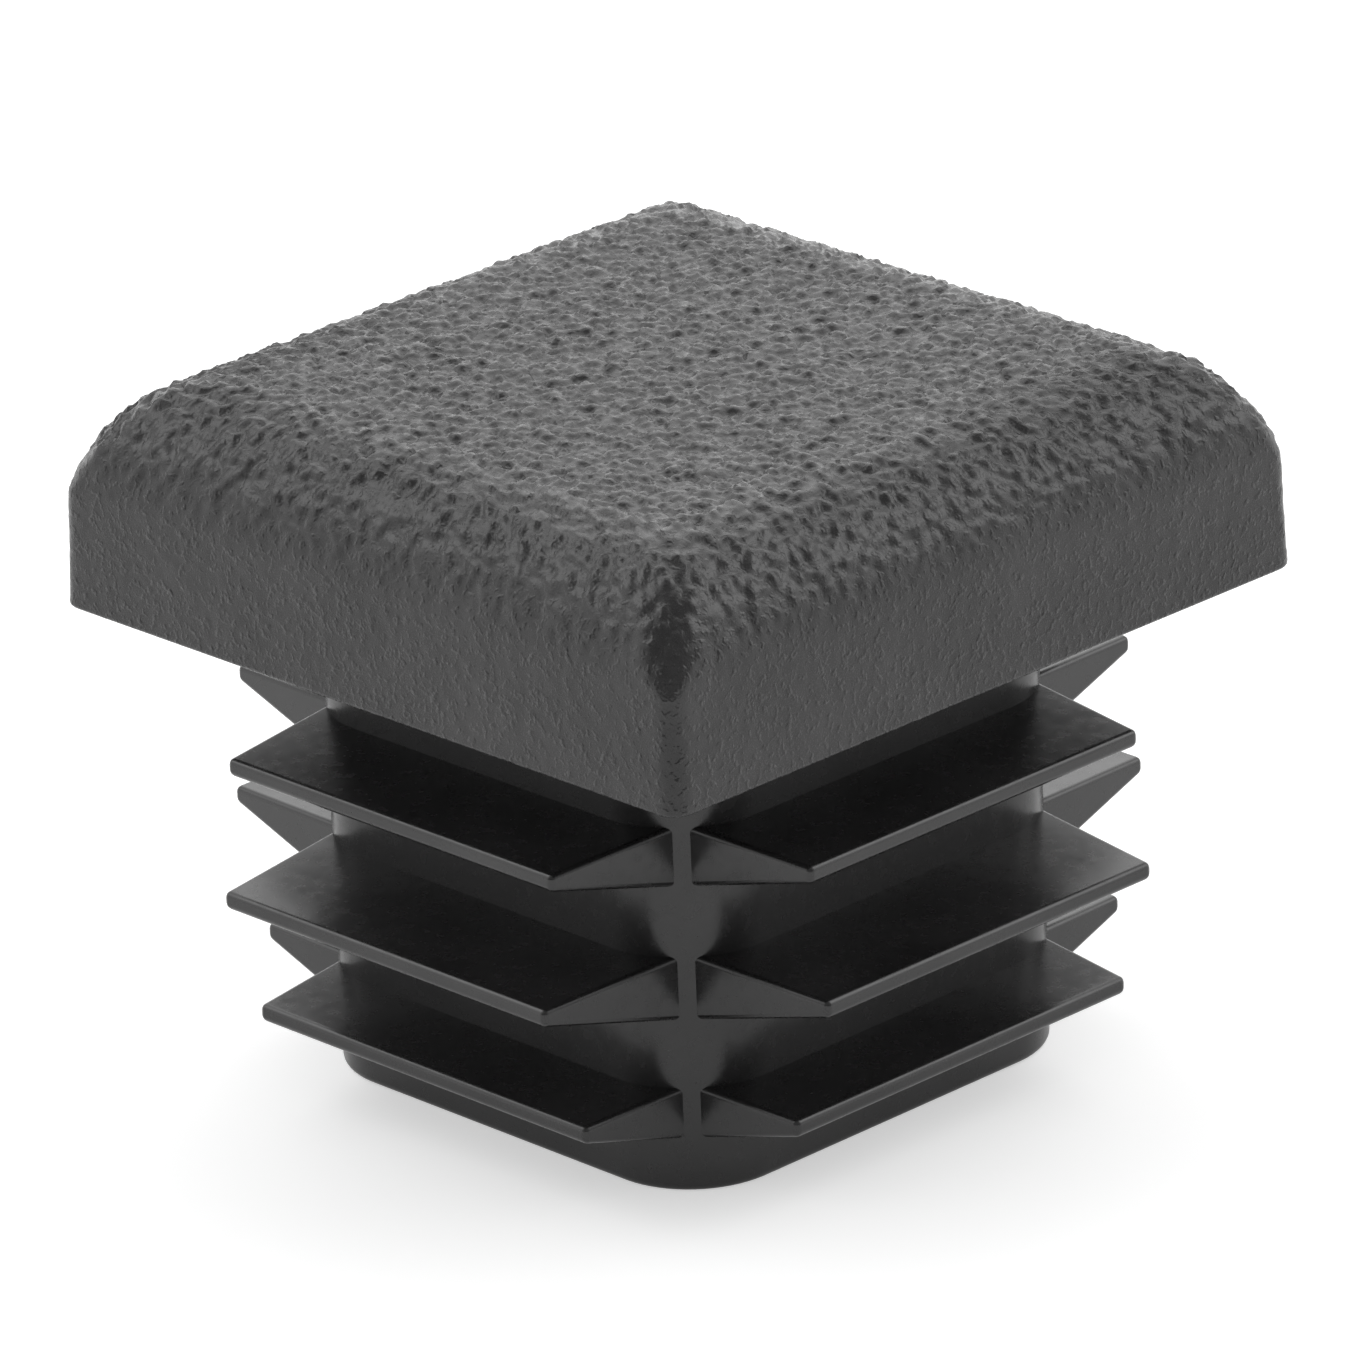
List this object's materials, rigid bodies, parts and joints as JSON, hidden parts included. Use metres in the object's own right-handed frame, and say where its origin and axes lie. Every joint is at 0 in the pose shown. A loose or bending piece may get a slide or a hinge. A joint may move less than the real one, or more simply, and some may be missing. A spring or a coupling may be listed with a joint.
{
  "type": "square tube end cap",
  "caption": "Push-in end cap for a square tube: thick grained head with rounded top edges on a hollow stem with rows of flexible fins.",
  "frame": {"origin": "on the tube's axis, in the plane of the head's underside, where the tube's end meets it", "axes": "+Z out of the tube through the head, X and Y square to the stem's flat sides"},
  "size_m": [0.025, 0.025, 0.0213],
  "materials": {
    "black_plastic": "moulded black plastic: coarse spark-eroded grain on the head, smooth and slightly glossy on the stem and fins"
  },
  "bodies": {
    "root": {"end_cap": "black_plastic"}
  },
  "joints": []
}
